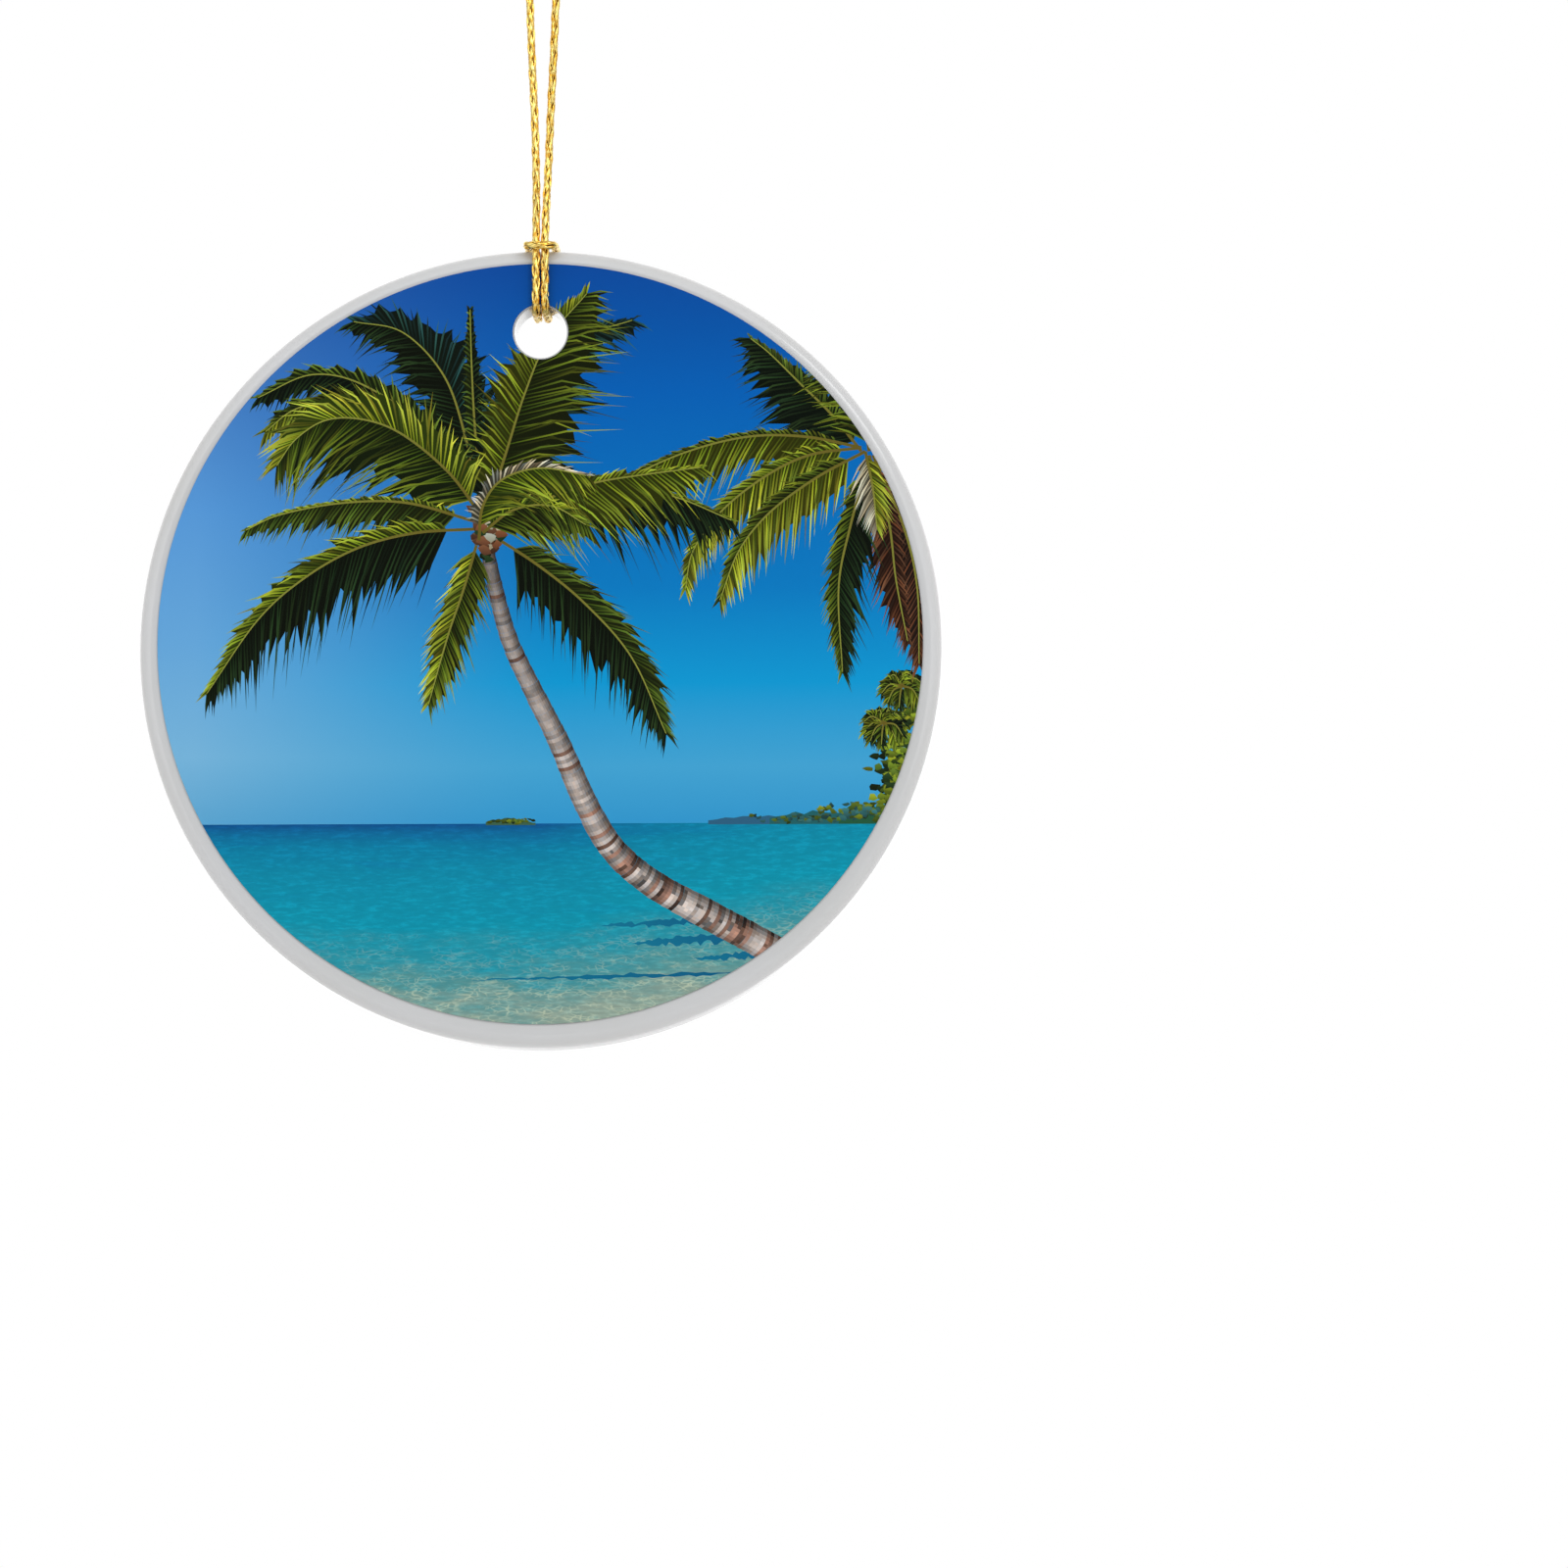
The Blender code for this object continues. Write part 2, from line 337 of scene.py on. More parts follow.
def braid(name, points, phase, material, core_in_painted_shade):
    """A braided cord along evenly spaced points. Phase is the length of cord before them."""
    count = len(points)
    tangents, normals, binormals = carried_frames(points)
    step = np.linalg.norm(points[1] - points[0])
    along = phase + step * np.arange(count)
    vertices, faces, slots = [], [], []

    def add(rings, sides, slot):
        fresh = tube_faces(count, sides, sum(len(v) for v in vertices))
        vertices.append(rings.reshape(-1, 3))
        faces.extend(fresh)
        slots.extend([slot] * len(fresh))

    for way in (1, -1):
        for k in range(YARNS):
            angle = way * tau * along / BRAID_PITCH + tau * k / YARNS
            reach = YARN_RING + way * YARN_WAVE * np.cos(2 * YARNS * pi * along / BRAID_PITCH)
            out = normals * np.cos(angle)[:, None] + binormals * np.sin(angle)[:, None]
            side = np.cross(tangents, out)
            centre = points + out * reach[:, None]
            rings = []
            for j in range(THREAD_SIDES):
                turn = tau * j / THREAD_SIDES
                rings.append(centre + side * YARN_WIDTH * cos(turn) + out * YARN_THICKNESS * sin(turn))
            add(np.stack(rings, 1), THREAD_SIDES, 0)
    # The core, whose dark material is painted shade in the gaps between the yarns.
    turns = [tau * j / THREAD_SIDES for j in range(THREAD_SIDES)]
    rings = [points + CORE_RADIUS * (normals * cos(turn) + binormals * sin(turn)) for turn in turns]
    add(np.stack(rings, 1), THREAD_SIDES, 1)

    mesh = bpy.data.meshes.new(name)
    mesh.from_pydata(np.concatenate(vertices).tolist(), [], faces)
    mesh.materials.append(material)
    mesh.materials.append(core_in_painted_shade)
    mesh.polygons.foreach_set("material_index", slots)
    mesh.shade_smooth()
    piece = bpy.data.objects.new(name, mesh)
    bpy.context.scene.collection.objects.link(piece)
    return piece


def as_points(table, mirror=1, lift=0.0):
    return [Vector((x * mirror, y, z)) * MM + Vector((0, 0, lift)) for x, y, z in table]


def whole_cord():
    """The cord's one line from the knot, down, round the hitch and up to the knot again."""
    half = as_points(LOOP_ROUTE)
    half += as_points(FRONT_ROUTE, 1, DISC_TOP) + as_points(BACK_ROUTE, 1, DISC_TOP)
    other = [Vector((-p.x, p.y, p.z)) for p in reversed(half[:-1])]
    return even_route(smooth_route(half + other, ROUTE_SPAN), CORD_STEP)


NECK_END_Z = 0.4 * MM  # inside the knot, which hides the first bend
HITCH_START_Z = -40.0 * MM


def make_cords(gold, core_in_painted_shade, knots):
    """The cord in lengths: neck, upper and hitch."""
    points = whole_cord()
    heights = points[:, 2]
    middle = len(points) // 2
    cuts = [int(np.argmax(heights[:middle] < z)) for z in (NECK_END_Z, HITCH_START_Z)]
    marks = [0, *cuts, *(len(points) - 1 - cut for cut in reversed(cuts)), len(points) - 1]
    names = ("neck_left", "upper_left", "hitch", "upper_right", "neck_right")
    pieces, lines = {}, {}
    for name, first, last in zip(names, marks, marks[1:]):
        lines[name] = points[first:last + 1]
        pieces[name] = braid("braid_" + name, lines[name], first * CORD_STEP, gold, core_in_painted_shade)
    for side in ("left", "right"):
        neck, upper = pieces["neck_" + side], pieces["upper_" + side]
        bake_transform(neck)
        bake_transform(upper)
        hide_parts("cord_neck_" + side)
        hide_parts("cord_loop_" + side)
    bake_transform(pieces["hitch"])
    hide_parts("cord_front_left", "cord_front_right", "cord_bight")


KNOT_TURNS = 1.45
KNOT_REACH = 1.02 * MM
KNOT_HALF_HEIGHT = 0.85 * MM
KNOT_STEPS = 60
KNOT_INNER = 0.35  # a wrap starts and ends at this share of its reach


def knot_line(offset):
    """One of the knot's two wraps: out from the middle, round and down, and in again."""
    points = []
    for i in range(KNOT_STEPS + 1):
        t = i / KNOT_STEPS
        angle = tau * KNOT_TURNS * t + pi * 0.75
        reach = KNOT_REACH * min(1.0, KNOT_INNER + 5 * t, KNOT_INNER + 5 * (1 - t))
        height = KNOT_HALF_HEIGHT * (1 - 2 * t) + offset
        points.append(KNOT_CENTRE + Vector((reach * cos(angle), reach * sin(angle), height)))
    return points


def make_knot(gold, core_in_painted_shade):
    """The knot's two wraps, and the two short tails that leave it."""
    pieces = {"left": [], "right": []}
    for side, offset in (("left", CORD_DIAMETER / 2), ("right", -CORD_DIAMETER / 2)):
        points = even_route(knot_line(offset), CORD_STEP)
        wrap = braid("braid_knot_" + side, points, 0.0, gold, core_in_painted_shade)
        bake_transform(wrap)
        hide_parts("cord_knot")
        pieces[side].append(wrap)
    for side, mirror in (("left", 1), ("right", -1)):
        tail = as_points(TAIL_ROUTE, mirror)
        points = even_route(smooth_route(tail, ROUTE_SPAN), CORD_STEP)
        piece = braid("braid_tail_" + side, points, 0.0, gold, core_in_painted_shade)
        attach(piece, "hook_end")
        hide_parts("cord_tail_" + side)
        pieces[side].append(piece)
    return pieces


# ---------------------------------------------------------------- ceramic disc

DISC_STEPS = 256
SHOULDER_STEPS = 12
HOLE_STEPS = 96
LIP_STEPS = 6
CUTTER_OVERSHOOT = 1 * MM
MERGE_DISTANCE = 0.000001
SHARP_ANGLE = radians(40)


def turned(name, profile, steps):
    """A profile of (radius, height) points turned about Y, as a mesh object."""
    mesh = bpy.data.meshes.new(name)
    mesh.from_pydata([(radius, 0, height) for radius, height in profile],
                     [(i, i + 1) for i in range(len(profile) - 1)], [])
    piece = bpy.data.objects.new(name, mesh)
    bpy.context.scene.collection.objects.link(piece)
    screw = piece.modifiers.new("turn", "SCREW")
    screw.steps = screw.render_steps = steps
    screw.use_merge_vertices = True
    screw.merge_threshold = MERGE_DISTANCE
    piece.rotation_euler.x = pi / 2
    return piece


def arc(centre, radius, start, end, steps):
    angles = [start + (end - start) * i / steps for i in range(steps + 1)]
    return [(centre[0] + radius * cos(a), centre[1] + radius * sin(a)) for a in angles]


def applied(piece):
    """The piece's mesh as its modifiers leave it, in world space, on a piece without them."""
    bpy.context.view_layer.update()
    graph = bpy.context.evaluated_depsgraph_get()
    mesh = bpy.data.meshes.new_from_object(piece.evaluated_get(graph))
    mesh.transform(piece.matrix_world)
    piece.modifiers.clear()
    piece.data = mesh
    piece.matrix_world.identity()
    return piece


def make_disc(glaze):
    inner, rise = DISC_RADIUS - SHOULDER_RADIUS, FACE_Y - SHOULDER_RADIUS
    flat = [share * inner for share in (0.4, 0.7, 0.97)]
    profile = [(0, FACE_Y), *((r, FACE_Y) for r in flat),
               *arc((inner, rise), SHOULDER_RADIUS, pi / 2, 0, SHOULDER_STEPS),
               *arc((inner, -rise), SHOULDER_RADIUS, 0, -pi / 2, SHOULDER_STEPS),
               *((r, -FACE_Y) for r in reversed(flat)), (0, -FACE_Y)]
    disc = turned("glazed_disc", profile, DISC_STEPS)
    disc.location = DISC_CENTRE

    flare, past = HOLE_RADIUS + LIP_RADIUS, FACE_Y + CUTTER_OVERSHOOT
    cutter = turned("hole_cutter", [
        (0, past), (flare, past),
        *arc((flare, FACE_Y - LIP_RADIUS), LIP_RADIUS, pi / 2, pi, LIP_STEPS),
        *arc((flare, LIP_RADIUS - FACE_Y), LIP_RADIUS, pi, 3 * pi / 2, LIP_STEPS),
        (flare, -past), (0, -past)], HOLE_STEPS)
    cutter.location = (0, 0, HOLE_CENTRE_Z)
    cut = disc.modifiers.new("hole", "BOOLEAN")
    cut.operation = "DIFFERENCE"
    cut.object = cutter
    applied(disc)
    bpy.data.objects.remove(cutter)
    disc.data.shade_smooth()
    disc.data.set_sharp_from_angle(angle=SHARP_ANGLE)
    weighted = disc.modifiers.new("normals", "WEIGHTED_NORMAL")
    weighted.keep_sharp = True
    applied(disc)
    disc.data.materials.clear()
    disc.data.materials.append(glaze)
    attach(disc, "ornament")
    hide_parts("ceramic_disc")


# ---------------------------------------------------------------- printed picture
# Drawn in the picture's own units: 1 is the print's radius, x to the right and y up.

HORIZON = -0.475
LEAF_WIDTH = 0.0052
LEAFLETS = 1.25  # leaflets a side for each that a frond's own count gives
MIDRIB_HALF = 0.0042
RING_STEPS = 192  # round the print's edge

# Leaf tones as sRGB bytes, from a leaflet's base to its tip
LIT = ((112, 126, 18), (186, 190, 66))
BRIGHT = ((88, 108, 14), (156, 168, 52))
MID = ((46, 66, 14), (98, 120, 44))
DEEP = ((40, 58, 10), (122, 138, 40))
DARK = ((16, 32, 12), (44, 66, 36))
COOL = ((20, 46, 34), (44, 84, 84))
FAR = ((30, 74, 84), (62, 112, 104))
DRY = ((66, 38, 26), (120, 78, 52))
PALE = ((140, 128, 96), (206, 200, 176))


SLIVER = 8e-6  # a shape with less than half of this area is left out


def holds(outline, point):
    """True if a closed outline goes round a point."""
    inside = False
    for a, b in zip(outline, outline[-1:] + outline[:-1]):
        if (a.y > point.y) != (b.y > point.y):
            if point.x < a.x + (point.y - a.y) * (b.x - a.x) / (b.y - a.y):
                inside = not inside
    return inside


class Picture:
    """Flat shapes, later ones over earlier ones, each with a colour along its own axis."""

    def __init__(self):
        self.corners = []
        self.shapes = []
        self.inks = []

    def add(self, outline, low=None, high=None, base=None, tip=None):
        first = len(self.corners)
        outline = [Vector(p[:2]) for p in outline]
        area = sum(a.cross(b) for a, b in zip(outline, outline[1:] + outline[:1]))
        if abs(area) < SLIVER:
            return
        self.corners.extend(outline if area > 0 else reversed(outline))
        self.shapes.append(list(range(first, len(self.corners))))
        base = outline[0] if base is None else base
        tip = outline[len(outline) // 2] if tip is None else tip
        self.inks.append((low, high or low, base, tip))


def shade(colour, factor, rng, jitter=0.08):
    warm = rng.uniform(-jitter, jitter)
    red, green, blue = colour
    return (min(255, max(0, red * (factor + warm))), min(255, max(0, green * factor)),
            min(255, max(0, blue * (factor - warm))))


def blade(picture, root, direction, length, width, droop, low, high):
    """One leaflet: a thin curved blade that bends down towards its tip."""
    spine = []
    for t in (0, 0.5, 1):
        sag = Vector((0, -droop * length * t * t))
        spine.append(root + direction * length * t + sag)
    across = [Vector((-d.y, d.x)).normalized() for d in (spine[1] - spine[0], spine[2] - spine[0])]
    widths = (0.5 * width, width)
    left = [p + a * w / 2 for p, a, w in zip(spine, across, widths)]
    right = [p - a * w / 2 for p, a, w in zip(spine, across, widths)]
    picture.add([*left, spine[2], *reversed(right)], low, high, spine[0], spine[2])


def frond(picture, rng, route, lengths, tones, count=34, droop=0.35, lean=0.75, fat=1.0):
    """A palm frond. Lengths and tones are for the side to the left of its way, then the right."""
    count = int(count * LEAFLETS)
    line = smooth_route([Vector((x, y, 0)) for x, y in route], 12)
    places = even_route(line, sum((b - a).length for a, b in zip(line, line[1:])) / count)
    ways = np.gradient(places, axis=0)
    ways /= np.linalg.norm(ways, axis=1)[:, None]
    places, ways = [Vector(p[:2]) for p in places], [Vector(w[:2]) for w in ways]
    leaves = ([], [])
    for i in range(count, 0, -1):
        u = i / count
        for side in (0, 1):
            if u < 0.08 or lengths[side] == 0:
                continue
            way = ways[i]
            normal = Vector((-way.y, way.x)) * (1 if side == 0 else -1)
            out = (normal + way * (lean + 0.9 * u * u + rng.uniform(-0.16, 0.16))).normalized()
            swell = sin(pi * min(0.97, 0.10 + 0.92 * u ** 0.9)) ** 0.55
            length = lengths[side] * swell * rng.uniform(0.72, 1.12) + 0.012
            leaves[side].append((places[i], out, length, droop * rng.uniform(0.5, 1.5)))
    for side in (0, 1):
        low, high = tones[side]
        roots = [root for root, _, _, _ in leaves[side]]
        edge = []
        for k, (root, out, length, sag) in enumerate(leaves[side]):
            share = 0.84 if k % 3 == 0 else 0.56
            edge.append(root + out * length * share + Vector((0, -sag * length * share * share)))
        depth = shade(low, 0.42, rng)
        for k in range(len(roots) - 1):
            picture.add([roots[k], edge[k], edge[k + 1]], depth)
            picture.add([roots[k], edge[k + 1], roots[k + 1]], depth)
        for root, out, length, sag in leaves[side]:
            light = rng.choice((0.5, 0.72, 0.9, 1.0, 1.16)) * rng.uniform(0.9, 1.1)
            blade(picture, root, out, length, LEAF_WIDTH * fat, sag, shade(low, light, rng),
                  shade(high, light, rng))
    half = MIDRIB_HALF * fat
    left, right = [], []
    for i, (p, way) in enumerate(zip(places, ways)):
        side = Vector((-way.y, way.x)) * half * (1 - 0.75 * i / count)
        left.append(p + side)
        right.append(p - side)
    picture.add([*left, *reversed(right)], (96, 84, 30), (140, 146, 62), places[0], places[-1])


# Each frond: its route from the crown, leaflet lengths left and right of it, and their tones
MAIN_CROWN = (
    # behind: cool and dark, against the sky
    (((-0.15, 0.34), (-0.19, 0.52), (-0.25, 0.70), (-0.36, 0.82), (-0.49, 0.85)),
     (0.17, 0.20), (DARK, COOL), 42),
    (((-0.16, 0.34), (-0.30, 0.56), (-0.46, 0.68), (-0.60, 0.71), (-0.74, 0.65)),
     (0.13, 0.09), (DARK, MID), 36),
    (((-0.15, 0.36), (-0.17, 0.55), (-0.18, 0.72), (-0.185, 0.88)),
     (0.035, 0.04), (MID, DARK), 30),
    (((-0.14, 0.34), (-0.11, 0.46), (-0.07, 0.60), (-0.04, 0.70)),
     (0.16, 0.14), (DARK, DARK), 30),
    (((-0.13, 0.34), (-0.06, 0.50), (0.02, 0.68), (0.10, 0.80), (0.24, 0.85)),
     (0.10, 0.17), (COOL, COOL), 38),
    # the big ones
    (((-0.14, 0.34), (-0.09, 0.50), (-0.04, 0.66), (0.02, 0.80), (0.12, 0.92)),
     (0.17, 0.29), (BRIGHT, DEEP), 46),
    (((-0.15, 0.33), (-0.28, 0.50), (-0.40, 0.60), (-0.52, 0.64), (-0.64, 0.62), (-0.72, 0.56)),
     (0.15, 0.10), (LIT, DEEP), 40),
    (((-0.15, 0.33), (-0.24, 0.45), (-0.36, 0.55), (-0.46, 0.59), (-0.56, 0.59), (-0.64, 0.54),
      (-0.69, 0.47)), (0.24, 0.19), (DEEP, LIT), 56),
    (((-0.13, 0.33), (0.04, 0.42), (0.20, 0.42), (0.36, 0.38), (0.50, 0.32)),
     (0.04, 0.20), (DEEP, DARK), 44),
    (((-0.14, 0.32), (0.02, 0.38), (0.14, 0.42), (0.26, 0.44), (0.42, 0.46)),
     (0.05, 0.18), (BRIGHT, BRIGHT), 38),
    # low on the left
    (((-0.17, 0.32), (-0.35, 0.37), (-0.52, 0.37), (-0.68, 0.34), (-0.77, 0.30)),
     (0.10, 0.02), (MID, BRIGHT), 44),
    (((-0.17, 0.30), (-0.33, 0.29), (-0.48, 0.25), (-0.62, 0.17), (-0.74, 0.06), (-0.87, -0.13)),
     (0.19, 0.09), (DARK, BRIGHT), 56),
    # hanging down and to the right
    (((-0.16, 0.28), (-0.20, 0.14), (-0.24, 0.02), (-0.29, -0.16)),
     (0.10, 0.08), (DEEP, LIT), 38),
    (((-0.12, 0.28), (0.00, 0.20), (0.12, 0.10), (0.24, -0.04), (0.33, -0.24)),
     (0.12, 0.15), (MID, DARK), 46),
    # short ones in front, the last with a pale dry edge
    (((-0.15, 0.29), (-0.07, 0.35), (0.03, 0.36), (0.12, 0.31)),
     (0.06, 0.13), (BRIGHT, DEEP), 26),
    (((-0.16, 0.27), (-0.15, 0.36), (-0.10, 0.43), (0.00, 0.46), (0.12, 0.44)),
     (0.05, 0.15), (PALE, BRIGHT), 32),
)
BEHIND = 14  # of the main crown's fronds, those behind its heart
CROWN_HEART = (-0.135, 0.285)
RIGHT_CROWN = (
    (((0.84, 0.50), (0.76, 0.60), (0.68, 0.68), (0.60, 0.76), (0.55, 0.80)),
     (0.17, 0.07), (DARK, MID), 38),
    (((0.86, 0.50), (0.84, 0.62), (0.79, 0.70), (0.72, 0.76)),
     (0.14, 0.12), (DEEP, DARK), 30),
    (((0.84, 0.51), (0.69, 0.54), (0.54, 0.54), (0.38, 0.50), (0.22, 0.43), (0.12, 0.38)),
     (0.12, 0.03), (BRIGHT, DEEP), 52),
    (((0.84, 0.51), (0.70, 0.49), (0.58, 0.43), (0.47, 0.34), (0.40, 0.24), (0.38, 0.14)),
     (0.10, 0.05), (LIT, BRIGHT), 48),
    (((0.85, 0.50), (0.72, 0.43), (0.60, 0.34), (0.52, 0.24), (0.47, 0.11)),
     (0.12, 0.06), (LIT, DEEP), 44),
    (((0.87, 0.49), (0.95, 0.30), (0.985, 0.14), (0.99, -0.06)),
     (0.07, 0.12), (DRY, DRY), 38),
    (((0.86, 0.49), (0.91, 0.32), (0.93, 0.16), (0.96, 0.00)),
     (0.04, 0.09), (DRY, DRY), 30),
    (((0.86, 0.48), (0.81, 0.30), (0.78, 0.14), (0.79, -0.08)),
     (0.12, 0.06), (DARK, DEEP), 40),
    (((0.85, 0.50), (0.87, 0.40), (0.88, 0.30)),
     (0.06, 0.06), (LIT, PALE), 20),
)
TRUNK = ((-0.15, 0.31), (-0.12, 0.16), (-0.08, 0.01), (-0.02, -0.12), (0.05, -0.26), (0.12, -0.42),
         (0.19, -0.54), (0.29, -0.63), (0.43, -0.71), (0.56, -0.78), (0.70, -0.86))


def trunk(picture, rng):
    """Ringed bark: short bands across the stem, paler on the side towards the light."""
    line = smooth_route([Vector((x, y, 0)) for x, y in TRUNK], 10)
    bands, across = 150, 9
    length = sum((b - a).length for a, b in zip(line, line[1:]))
    places = even_route(line, length / bands)
    ways = np.gradient(places, axis=0)
    ways /= np.linalg.norm(ways, axis=1)[:, None]
    for i in range(bands):
        u = i / bands
        half = 0.017 + 0.022 * min(1, 1.25 * u) + rng.uniform(-0.0008, 0.0008)
        rough = u > 0.55
        ring = rng.choice((0.70, 0.88, 1.0, 1.08, 1.16) if rough else (0.86, 0.96, 1.04, 1.1))
        dry = rng.random() < 0.12 + 1.6 * max(0, u - 0.55)
        spot, reach = rng.randrange(across), rng.choice((0, 0, 1, 2, 3)) if rough else 0
        for j in range(across):
            corners = []
            for end, edge in ((0, j), (0, j + 1), (1, j + 1), (1, j)):
                p, way = places[i + end], ways[i + end]
                offset = half * (2 * edge / across - 1)
                bow = 0.25 * half * (1 - (2 * edge / across - 1) ** 2)
                corners.append(Vector((p[0] + way[1] * offset + way[0] * bow,
                                       p[1] - way[0] * offset + way[1] * bow)))
            side = (j + 0.5) / across
            roundness = 0.36 + 0.9 * sin(pi * (0.08 + 0.78 * side)) ** 1.3 * (0.55 + 0.45 * side)
            light = ring * roundness * rng.uniform(0.94, 1.06) * (0.62 + 0.42 * min(1, 2.2 * u))
            bark = (136, 104, 90) if dry else (164, 154, 148)
            if abs(j - spot) < reach:
                light *= 0.6
            picture.add(corners, shade(bark, light, rng, 0.03))


def foliage(picture, rng, centre, size, count, tuft, tones):
    """A clump of leaves too far off to tell apart: small ragged tufts, the lit ones on top."""
    for i in range(count):
        x = centre[0] + rng.gauss(0, size[0])
        y = centre[1] + rng.gauss(0, size[1])
        low, high = rng.choice(tones)
        light = 0.55 + 0.6 * i / count + rng.uniform(-0.12, 0.12)
        turn = rng.uniform(0, tau)
        outline = []
        for k in range(7):
            angle = turn + tau * k / 7
            reach = tuft * rng.uniform(0.35, 1.0)
            outline.append(Vector((x + 1.2 * reach * cos(angle), y + 0.8 * reach * sin(angle))))
        picture.add(outline, shade(low, light, rng), shade(high, light, rng), Vector((x, y - tuft)),
                    Vector((x, y + tuft)))


# Each hill's left and right ends, height and colour, the far ones first; the last is an island
HILLS = (
    (0.44, 0.80, 0.022, (44, 92, 122)),
    (0.60, 0.96, 0.034, (34, 92, 96)),
    (0.78, 1.00, 0.050, (36, 84, 58)),
    (-0.14, -0.01, 0.016, (58, 92, 70)),
)
# Each shadow's left and right ends, height and thickness
SHADOWS = (
    (-0.18, 0.58, -0.885, 0.012),
    (0.16, 0.52, -0.745, 0.020),
    (0.24, 0.60, -0.790, 0.030),
    (0.40, 0.72, -0.830, 0.022),
)


def far_coast(picture, rng):
    """Low wooded hills along the horizon on the right, and a tiny island."""
    for left, right, height, colour in HILLS:
        steps = 16
        top = []
        for i in range(steps + 1):
            t = i / steps
            rise = height * sin(pi * min(1, 0.06 + t)) ** 0.6 * rng.uniform(0.7, 1.05)
            top.append(Vector((left + (right - left) * t, HORIZON + max(rise, 0.002))))
        picture.add([Vector((left, HORIZON - 0.004)), *top, Vector((right, HORIZON - 0.004))], colour)


def water_shadow(picture, rng):
    """The trunk's shadow on the shallows: a thin wavering line and the patches where it lies."""
    for left, right, height, thick in SHADOWS:
        steps = 40
        top, bottom = [], []
        for i in range(steps + 1):
            t = i / steps
            x = left + (right - left) * t
            y = height + 0.02 * t + rng.uniform(-0.003, 0.003)
            half = thick * sin(pi * t) ** 0.7 * rng.uniform(0.15, 0.6)
            top.append(Vector((x, y + half)))
            bottom.append(Vector((x, y - half)))
        picture.add([*bottom, *reversed(top)], (18, 112, 142), (12, 84, 124), bottom[0], bottom[-1])


def draw_picture():
    rng = random.Random(7)
    picture = Picture()
    turns = [tau * i / RING_STEPS for i in range(RING_STEPS)]
    picture.add([(cos(turn), sin(turn)) for turn in turns])
    far_coast(picture, rng)
    foliage(picture, rng, (-0.07, HORIZON + 0.007), (0.026, 0.003), 36, 0.007, (DARK, MID, DEEP))
    foliage(picture, rng, (0.70, HORIZON + 0.012), (0.09, 0.005), 60, 0.009, (FAR, FAR, MID))
    foliage(picture, rng, (0.86, HORIZON + 0.030), (0.05, 0.010), 90, 0.012, (FAR, MID, DEEP))
    foliage(picture, rng, (0.935, -0.36), (0.026, 0.045), 230, 0.016, (DARK, MID, DEEP, BRIGHT))
    foliage(picture, rng, (0.955, -0.24), (0.020, 0.060), 150, 0.014, (DARK, MID, DEEP, BRIGHT))
    water_shadow(picture, rng)
    for crown in ((0.898, -0.215), (0.946, -0.118)):
        for i in range(11):
            angle = tau * i / 11 + rng.uniform(-0.2, 0.2)
            reach = Vector((cos(angle) * 0.055, sin(angle) * 0.045))
            c = Vector(crown)
            frond(picture, rng, [tuple(c), tuple(c + reach * 0.6 + Vector((0, 0.008))),
                                 tuple(c + reach - Vector((0, 0.012)))],
                  (0.02, 0.02), rng.choice(((MID, BRIGHT), (DARK, DEEP))), 8, 0.5, 0.6, 0.7)
    for route, lengths, tones, count in RIGHT_CROWN:
        frond(picture, rng, route, lengths, tones, count)
    trunk(picture, rng)
    for route, lengths, tones, count in MAIN_CROWN[:BEHIND]:
        frond(picture, rng, route, lengths, tones, count)
    foliage(picture, rng, CROWN_HEART, (0.022, 0.028), 46, 0.020, (DRY, DRY, DARK, PALE))
    for route, lengths, tones, count in MAIN_CROWN[BEHIND:]:
        frond(picture, rng, route, lengths, tones, count)
    return picture


def topmost(picture):
    """The disc's area cut by every shape's outline: corner points, and (face, topmost shape) pairs."""
    radius = PRINT_HOLE_RADIUS / PRINT_RADIUS
    rise = (HOLE_CENTRE_Z - PRINT_CENTRE.z) / PRINT_RADIUS
    turns = [tau * i / HOLE_STEPS for i in range(HOLE_STEPS)]
    hole = [Vector((radius * cos(a), rise + radius * sin(a))) for a in turns]
    corners = picture.corners + hole
    shapes = picture.shapes + [list(range(len(picture.corners), len(corners)))]
    hole_id = len(shapes) - 1
    points, _, faces, _, _, sources = delaunay_2d_cdt(corners, [], shapes, 1, 1e-6, True)
    outlines = [[corners[i] for i in shape] for shape in shapes]
    kept = []
    for face, found in zip(faces, sources):
        if 0 not in found:
            continue
        middle = sum((points[v] for v in face), Vector((0, 0))) / len(face)
        top = next((i for i in sorted(found, reverse=True) if holds(outlines[i], middle)), hole_id)
        if top != hole_id:
            kept.append((face, top))
    return points, kept


def only_what_shows(points, kept):
    """The same areas with every edge left out that has one shape's ink on both of its sides."""
    beside = {}
    for face, top in kept:
        for a, b in zip(face, face[1:] + face[:1]):
            beside.setdefault((min(a, b), max(a, b)), []).append(top)
    edges = [edge for edge, tops in beside.items() if len(tops) == 1 or tops[0] != tops[1]]
    used = sorted({v for edge in edges for v in edge})
    place = {v: i for i, v in enumerate(used)}
    finer, _, faces, _, _, _ = delaunay_2d_cdt(
        [points[v] for v in used], [(place[a], place[b]) for a, b in edges], [], 0, 1e-7, False)
    areas = BVHTree.FromPolygons([(p.x, p.y, 0) for p in points], [face for face, _ in kept])
    shown = []
    for face in faces:
        middle = sum((finer[v] for v in face), Vector((0, 0))) / len(face)
        _, _, index, _ = areas.ray_cast(Vector((middle.x, middle.y, 1)), Vector((0, 0, -1)))
        if index is not None:
            shown.append((face, kept[index][1]))
    return finer, shown


